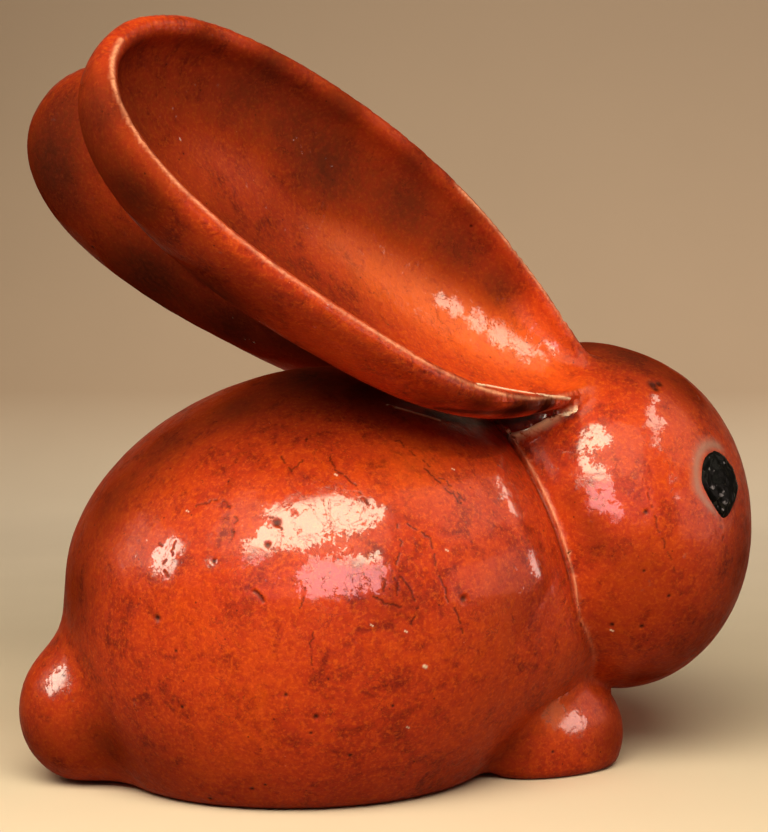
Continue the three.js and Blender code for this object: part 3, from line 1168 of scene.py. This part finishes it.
def eye_glaze(colours):
    made, nodes = material("black_eye_glaze")
    spot = nodes.spot()
    nodes.show(nodes.add("ShaderNodeBsdfPrincipled", {
        "Base Color": tuple(colours.eye), "Roughness": 0.35, "IOR": 1.2,
        "Specular IOR Level": 0.2, "Coat Roughness": 0.10,
        "Coat Weight": nodes.ramp(nodes.noise(spot, 420, 3, 0.6), 0.58, 0.66),
        "Normal": nodes.bump(nodes.noise(spot, 300, 2, 0.5), 0.5, 0.8),
    }))
    return made


def pale_floor(colours):
    """Pale floor and tan backdrop, which throw back less light than the camera sees."""
    made, nodes = material("pale_floor")
    spot = nodes.spot()
    height = nodes.add("ShaderNodeSeparateXYZ", {"Vector": spot}).outputs["Z"]
    shaded_wall = tuple(value * WALL_SHADE_SHARE for value in colours.wall)
    bounced = tuple(value * BOUNCED_SHARE for value in colours.floor)
    # Painted shade: the backdrop darker towards its top
    seen = nodes.mix(nodes.ramp(height, mm(60), mm(480)), colours.wall, shaded_wall)
    seen = nodes.mix(nodes.ramp(height, 0.0, mm(70)), colours.floor, seen)
    cloud = nodes.ramp(nodes.noise(spot, 5, 3, 0.6), 0.3, 0.7)
    seen = nodes.mix(nodes.times(cloud, 0.10), seen, shaded_wall)
    ray = nodes.add("ShaderNodeLightPath").outputs["Is Camera Ray"]
    plain = nodes.add("ShaderNodeBsdfPrincipled", {
        "Base Color": nodes.mix(ray, bounced, seen), "Roughness": 0.9, "Specular IOR Level": 0.1,
    })
    clear = nodes.add("ShaderNodeBsdfTransparent")
    behind = nodes.add("ShaderNodeNewGeometry").outputs["Backfacing"]
    nodes.show(nodes.add("ShaderNodeMixShader", {
        0: behind, 1: plain.outputs[0], 2: clear.outputs[0],
    }))
    return made


# Studio

WORLD_COLOUR = (1.0, 0.84, 0.66, 1.0)
WORLD_STRENGTH = 0.02
LAMPS_AIM = Vector((0, 0, 0.09))

# Each lamp: its direction from the rabbit, right, up and towards the camera, its distance, its
# width and height, its power, its tint and whether it only shows as a reflection
LIGHTS = {
    "key": ((-0.10, 0.63, 0.77), 0.60, 0.73, 0.39, 6.25, (1.0, 0.89, 0.63), False),
    "rose": ((0.01, 0.12, 0.99), 0.80, 0.86, 0.34, 3.3, (1.0, 0.60, 0.62), True),
    "side": ((0.74, 0.64, 0.18), 0.70, 0.50, 0.40, 2.4, (1.0, 0.86, 0.66), True),
    "low_right": ((0.93, 0.02, 0.26), 0.60, 0.50, 0.26, 1.5, (1.0, 0.78, 0.66), True),
    "low_left": ((-0.92, 0.30, 0.25), 0.75, 0.46, 0.26, 2.4, (1.0, 0.90, 0.72), True),
}
BACKDROP_LAMP = (1.6, 0.2, 4.5, (1.0, 0.90, 0.76))  # width, height, power and tint
BACKDROP_LAMP_PLACE = (0.44, 0.42, 0.66)
BACKDROP_LAMP_TILT = math.radians(62)
REAR_LAMP = (0.7, 0.5, 5.0, (1.0, 0.90, 0.76))
REAR_LAMP_BEHIND, REAR_LAMP_ASIDE = 0.62, 0.16

FLOOR_WIDTH = 5.0
FLOOR_FRONT, FLOOR_REAR = -3.0, 0.55
FLOOR_CURVE = 0.35  # radius of the curve up into the backdrop
WALL_HEIGHT = 2.5


# Operators

QUICK_VOXEL = 1.5
# Rounds of refining round the marks: how far out in millimetres, and in widths of the mark
DETAIL_ROUNDS = ((2.0, 3.0), (0.8, 2.6), (0.2, 2.2))
RIM_REACH, SEAM_REACH = mm(3.5), mm(2.4)
SWELL_SCALE, LUMPS_SCALE = 28, 150
# In the neck crease: place across it, half width and height
BEAD = (mm(-1.0), mm(0.55), mm(0.55))
GROOVE = (mm(0.9), mm(0.9), mm(-0.35))
# Spans of the ears' rims where the glaze has drawn thin, as turns round the ear
PALE_RIMS = ((2.95, 6.1), (0.45, 1.25))
PALE_RIM_WIDTH = mm(0.55)
HALO_RADIUS, HALO_WIDTH, HALO_SEEN = 1.20, 0.17, 0.05  # the first two in half sizes of the eye
NO_GLOSS = -2.0


class RABBIT_OT_body(bpy.types.Operator):
    """Models the glazed clay of the rabbit as one closed piece."""

    bl_idname = "rabbit.body"
    bl_label = "Rabbit Body"

    def execute(self, context):
        scene = context.scene
        sizes = scene.rabbit_sizes
        clay = Clay(sizes, scene.rabbit_joins)
        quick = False
        coarser = QUICK_VOXEL if quick else 1.0
        mesh = joined_mesh(clay.meshes.values(), sizes.voxel * coarser)
        form = settle(mesh, clay, rounds=3)
        refine(mesh, near_joins(form, width=mm(3)))
        settle(mesh, clay, rounds=2)
        relax(mesh, strength=0.3)
        marks = photo_marks(mesh, scene.rabbit_camera)
        self.add_detail(mesh, clay, marks, sizes, quick)
        self.finish_surface(mesh, clay, marks, sizes)
        shade_smooth(mesh)
        mesh.name = "rabbit_clay"
        mesh.materials.clear()
        mesh.materials.append(orange_glaze(scene.rabbit_colours))
        piece = new_piece("rabbit_clay", mesh)
        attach(piece, "root")
        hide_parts(NODE)
        return {"FINISHED"}

    def rims(self, sizes, *spans):
        """The crests of the two ears' rims, or the given spans of them."""
        crest = np.concatenate([Ear(sizes).crest(*span) for span in spans or ((),)])
        left = crest * MIRROR - (sizes.ear_setback, 0, 0)
        return np.concatenate((crest, left)) + np.array(sizes.seat)

    def add_detail(self, mesh, clay, marks, sizes, quick):
        """Makes the mesh finer where something small will be shaped."""
        chosen = np.zeros(len(mesh.vertices), bool)
        near, gaps = near_samples(read_points(mesh), self.rims(sizes), RIM_REACH)
        chosen[near[gaps < RIM_REACH]] = True
        refine(mesh, chosen)
        refine(mesh, self.halo(read_points(mesh), sizes) > HALO_SEEN)
        for spare, share in DETAIL_ROUNDS[:1 if quick else None]:
            points = read_points(mesh)
            refine(mesh, marks.reached(points, lambda width: width * share + mm(spare)))
        if not quick:
            form = clay.surface(read_points(mesh))[1]
            across = form["head"] - np.minimum(form["trunk"], form["chest"])
            refine(mesh, (np.abs(across) < SEAM_REACH) & (np.abs(form["head"]) < mm(3)))

    def finish_surface(self, mesh, clay, marks, sizes):
        """Raises and sinks the small forms, and keeps the glaze's tones, painted shade and painted
        light among them.
        """
        points = read_points(mesh)
        normals = normals_of(mesh)
        form = clay.surface(points)[1]
        standing = np.clip(points[:, 2] / mm(3), 0, 1)
        heights, dark, light = marks.heights(points)
        dark *= 1 - light

        body = np.minimum(form["trunk"], form["chest"])
        bead, groove = self.neck_line(form["head"], body, points[:, 2])
        heights += bead * BEAD[2] + groove * GROOVE[2]
        swell = noise_at(points, SWELL_SCALE) * sizes.swell
        lumps = noise_at(points, LUMPS_SCALE) * sizes.lumps
        heights = (heights + swell + lumps) * standing
        write_points(mesh, points + normals * heights[:, None])

        rim = np.zeros(len(points))
        near, gaps = near_samples(points, self.rims(sizes, *PALE_RIMS), mm(3))
        rim[near] = bell(gaps, PALE_RIM_WIDTH)
        rim *= np.clip(form["head"] / mm(12) - 0.4, 0, 1)
        ears = np.minimum(form["ear_right"], form["ear_left"])
        tones = (
            # Dark pits and cracks, with the painted shadow along the lines under the ears
            np.maximum(dark, groove * 0.75),
            # Pale chips and edges, with painted highlight on the ear ridge and the valley streak
            light,
            np.maximum(bead, rim),
            # Painted shade on the body under the ears
            np.exp(-np.maximum(ears, 0) / mm(9)) * (ears > mm(0.6)) * (body < mm(2)),
            # Painted shade in broad patches, partly darker fired glaze
            self.patches(points, marks, BURNT_AND_SHADE),
            # Painted light in broad patches
            self.patches(points, marks, PAINTED_LIGHT),
            self.gloss(points, marks),
            self.halo(points, sizes),
        )
        for name, values in zip(TONES, tones):
            add_tone(mesh, name, values)

    def neck_line(self, head, body, height):
        """The bead of unglazed clay in the neck crease and the groove beside it, fading downwards.
        """
        across = head - body
        upper = np.clip((height - mm(28)) / mm(40), 0.12, 1)
        reach = (np.abs(head) < mm(4)) & (np.abs(body) < mm(4))
        return [bell(across - middle, width) * upper * reach for middle, width, _ in (BEAD, GROOVE)]

    def gloss(self, points, marks):
        """Where the glaze lies thick and glossy: 1 in the middle of a pool, a half at its edge."""
        total = np.full(len(points), NO_GLOSS)
        for pixel, radius in GLOSS.values():
            for squared in marks.spread(pixel, points):
                apart = squared / mm(radius) ** 2
                total = np.maximum(total, 1 - apart * 0.5 / (1 + apart * 0.04))
        return total

    def patches(self, points, marks, places):
        """How strongly broad soft patches darken or lighten the glaze, as painted shade or painted
        light.
        """
        spared = np.ones(len(points))
        for pixel, radius, amount in places.values():
            for squared in marks.spread(pixel, points):
                spared *= 1 - amount * np.exp(-squared / mm(radius) ** 2)
        return 1 - spared

    def halo(self, points, sizes):
        """The greyish ring on the rear side of each eye."""
        spot, out, sideways, up = place_on_head(sizes, sizes.eye_azimuth, sizes.eye_elevation)
        turn = np.array((sideways, up)).T
        _, half_width, half_height = sizes.eye_half
        total = np.zeros(len(points))
        for side in (1, -1):
            local = (points - np.array(sizes.seat)) * (1, side, 1) - np.array(spot)
            across, rise = (local @ turn).T
            narrow = 1 - sizes.eye_taper * np.clip(-rise / half_height, 0, 1) ** 1.5
            radius = np.hypot(across / (half_width * narrow), rise / half_height)
            rear = np.clip(0.5 + (rise - across * 1.6) / half_width, 0.15, 1)
            near = np.abs(local @ np.array(out)) < mm(8)
            total = np.maximum(total, bell(radius - HALO_RADIUS, HALO_WIDTH) * rear * near)
        return total


class RABBIT_OT_eyes(bpy.types.Operator):
    """Models the two eyes of black glaze in their sockets."""

    bl_idname = "rabbit.eyes"
    bl_label = "Rabbit Eyes"

    def execute(self, context):
        sizes = context.scene.rabbit_sizes
        drop = drop_form(
            sizes, sizes.eye_azimuth, sizes.eye_elevation, sizes.eye_half, sizes.eye_sink,
            sizes.eye_taper, sizes.eye_lean, sizes.eye_lumps,
        )
        glaze = eye_glaze(context.scene.rabbit_colours)
        for name, carry in (("eye_right", drop), ("eye_left", on_left(drop))):
            mesh = carried_ball(96, 64, carry)
            write_points(mesh, read_points(mesh) + np.array(sizes.seat))
            shade_smooth(mesh)
            mesh.materials.append(glaze)
            piece = new_piece(name, mesh)
            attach(piece, "root")
        return {"FINISHED"}


class RABBIT_OT_stage(bpy.types.Operator):
    """Sets the floor, the backdrop, the lights and the camera."""

    bl_idname = "rabbit.stage"
    bl_label = "Rabbit Stage"

    def execute(self, context):
        scene = context.scene
        self.sweep(scene)
        self.lights(scene)
        self.camera(scene)
        scene.view_settings.view_transform = "Standard"
        return {"FINISHED"}

    def sweep(self, scene):
        """A floor that curves up into a backdrop behind the rabbit."""
        mesh = bpy.data.meshes.new("floor_sweep")
        with shaping(mesh) as shape:
            start = shape.verts.new((-FLOOR_WIDTH / 2, FLOOR_FRONT, 0))
            end = shape.verts.new((-FLOOR_WIDTH / 2, FLOOR_REAR, 0))
            shape.edges.new((start, end))
            spun = bmesh.ops.spin(
                shape, geom=[end], cent=(0, FLOOR_REAR, FLOOR_CURVE), axis=(1, 0, 0),
                dvec=(0, 0, 0), angle=math.radians(90), steps=24,
            )
            top = spun["geom_last"][0]
            shape.edges.new((top, shape.verts.new(top.co + UP * WALL_HEIGHT)))
            side = bmesh.ops.extrude_edge_only(shape, edges=shape.edges[:])
            moved = [item for item in side["geom"] if isinstance(item, bmesh.types.BMVert)]
            bmesh.ops.translate(shape, verts=moved, vec=(FLOOR_WIDTH, 0, 0))
            bmesh.ops.transform(shape, matrix=self.view_turn(scene), verts=shape.verts[:])
            bmesh.ops.recalc_face_normals(shape, faces=shape.faces[:])
            bmesh.ops.reverse_faces(shape, faces=shape.faces[:])
        shade_smooth(mesh)
        mesh.materials.append(pale_floor(scene.rabbit_colours))
        new_piece("floor_sweep", mesh)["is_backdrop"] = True

    def view_turn(self, scene):
        """The camera's turn about the rabbit, which the floor and the backdrop share."""
        return Matrix.Rotation(scene.rabbit_camera.azimuth, 4, "Z")

    def lights(self, scene):
        world = bpy.data.worlds.new("studio")
        world.use_nodes = True
        background = world.node_tree.nodes["Background"]
        background.inputs["Color"].default_value = WORLD_COLOUR
        background.inputs["Strength"].default_value = WORLD_STRENGTH
        scene.world = world
        right, up, back = camera_axes(scene.rabbit_camera)
        for name, (toward, distance, wide, tall, power, tint, glints) in LIGHTS.items():
            lamp = self.lamp(scene, name, wide, tall, power, tint)
            direction = (right * toward[0] + up * toward[1] + back * toward[2]).normalized()
            lamp.location = LAMPS_AIM + direction * distance
            lamp.rotation_euler = direction.to_track_quat("Z", "Y").to_euler()
            lamp.visible_diffuse = not glints
        self.backdrop_lamp(scene)
        self.rear_lamp(scene, right, back)

    def lamp(self, scene, name, wide, tall, power, tint):
        """A rectangular lamp that the camera doesn't see."""
        data = bpy.data.lights.new(name, "AREA")
        data.shape = "RECTANGLE"
        data.size, data.size_y = wide, tall
        data.energy = power
        data.color = tint
        lamp = bpy.data.objects.new(name, data)
        scene.collection.objects.link(lamp)
        lamp.visible_camera = False
        return lamp

    def backdrop_lamp(self, scene):
        """A lamp behind the rabbit that lights the backdrop alone."""
        lamp = self.lamp(scene, "backdrop", *BACKDROP_LAMP)
        stand = Matrix.Translation(BACKDROP_LAMP_PLACE)
        tilt = Matrix.Rotation(BACKDROP_LAMP_TILT, 4, "X")
        lamp.matrix_world = self.view_turn(scene) @ stand @ tilt

    def rear_lamp(self, scene, right, back):
        """A soft lamp behind the rabbit that lights only the far side of its clay."""
        lamp = self.lamp(scene, "rear", *REAR_LAMP)
        lamp.location = LAMPS_AIM - back * REAR_LAMP_BEHIND - right * REAR_LAMP_ASIDE
        lamp.rotation_euler = (-back).to_track_quat("Z", "Y").to_euler()
        lamp.visible_glossy = False
        lit = bpy.data.collections.new("lit_from_behind")
        for piece in scene.objects:
            if piece.type == "MESH" and piece.name != "floor_sweep":
                lit.objects.link(piece)
        lamp.light_linking.receiver_collection = lit

    def camera(self, scene):
        settings = scene.rabbit_camera
        data = bpy.data.cameras.new("camera")
        data.lens = settings.lens
        data.sensor_width = SENSOR
        data.sensor_fit = "AUTO"
        camera = bpy.data.objects.new("camera", data)
        scene.collection.objects.link(camera)
        right, up, back = camera_axes(settings)
        camera.location = Vector(settings.target) + back * settings.distance
        camera.rotation_euler = Matrix((right, up, back)).transposed().to_euler()
        scene.camera = camera


class RABBIT_PT_panel(bpy.types.Panel):
    """Lists the rabbit's operators."""

    bl_label = "Glazed Rabbit"
    bl_idname = "RABBIT_PT_panel"
    bl_space_type = "VIEW_3D"
    bl_region_type = "UI"
    bl_category = "Rabbit"

    def draw(self, context):
        for operator in OPERATORS:
            self.layout.operator(operator.bl_idname)


GROUPS = {
    "rabbit_sizes": RabbitSizes,
    "rabbit_joins": RabbitJoins,
    "rabbit_colours": RabbitColours,
    "rabbit_camera": RabbitCamera,
}
OPERATORS = (RABBIT_OT_body, RABBIT_OT_eyes, RABBIT_OT_stage)


def register():
    for cls in (*GROUPS.values(), *OPERATORS, RABBIT_PT_panel):
        bpy.utils.register_class(cls)
    for name, group in GROUPS.items():
        setattr(bpy.types.Scene, name, PointerProperty(type=group))


def unregister():
    for name in GROUPS:
        delattr(bpy.types.Scene, name)
    for cls in reversed((*GROUPS.values(), *OPERATORS, RABBIT_PT_panel)):
        bpy.utils.unregister_class(cls)


def main():
    register()
    bpy.ops.rabbit.body()
    bpy.ops.rabbit.eyes()
    bpy.ops.rabbit.stage()
    boxes = {"cad": CAD_BOX, "visual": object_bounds()}
    {name: [list(corner) for corner in box] for name, box in boxes.items()}


if __name__ == "__main__":
    main()
